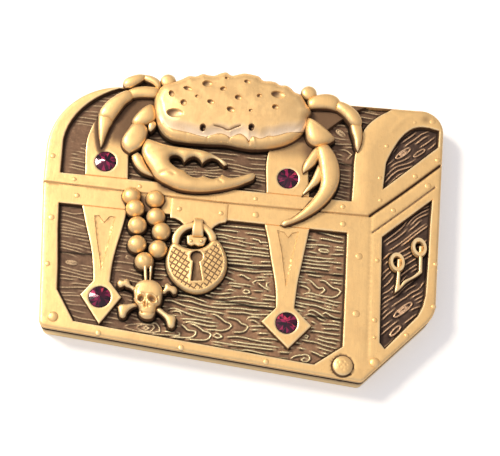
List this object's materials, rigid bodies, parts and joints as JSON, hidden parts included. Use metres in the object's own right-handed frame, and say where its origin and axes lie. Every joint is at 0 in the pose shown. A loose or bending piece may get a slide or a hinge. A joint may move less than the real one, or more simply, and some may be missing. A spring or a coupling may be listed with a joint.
{
  "type": "treasure chest keepsake case",
  "caption": "Flat antique brass relief case shaped like a pirate treasure chest with a crab on its lid, crystals, padlock and skull charm; the cover swivels over a shallow tray.",
  "frame": {"origin": "centre of the bounding box, on the flat back that the case lies on", "axes": "+X to the right of the picture, +Y towards the chest's lid, +Z out of the relief"},
  "size_m": [0.0554, 0.0436, 0.0066],
  "materials": {
    "brass": "antique brass, brushed on the high parts and darkened in the recesses",
    "crystal": "faceted wine-red crystal with a foiled back"
  },
  "bodies": {
    "case": {"case_tray": "brass", "spacer_washer": "brass", "pivot_rivet": "brass"},
    "cover": {"cover_plate": "brass", "lid_strap_left": "brass", "lid_strap_right": "brass", "body_strap_left": "brass", "body_strap_right": "brass", "crystal_lid_left": "crystal", "crystal_lid_right": "crystal", "crystal_body_left": "crystal", "crystal_body_right": "crystal", "crab_shell": "brass", "crab_left_claw": "brass", "crab_left_wrist": "brass", "crab_left_arm": "brass", "crab_right_arm": "brass", "crab_right_claw": "brass", "crab_left_legs": "brass", "crab_right_legs": "brass", "hasp_plate": "brass", "hasp_staple": "brass", "padlock_body": "brass", "padlock_shackle": "brass", "bead_strand": "brass", "charm_link": "brass", "skull": "brass", "crossbones": "brass", "side_handle": "brass", "handle_rings": "brass", "dome_studs": "brass"}
  },
  "joints": [
    {"name": "cover_swivel", "type": "hinge", "parent": "case", "child": "cover", "pos_m": [0.01426, -0.01995, 0.0026], "axis": [0, 0, 1], "continuous": true}
  ]
}
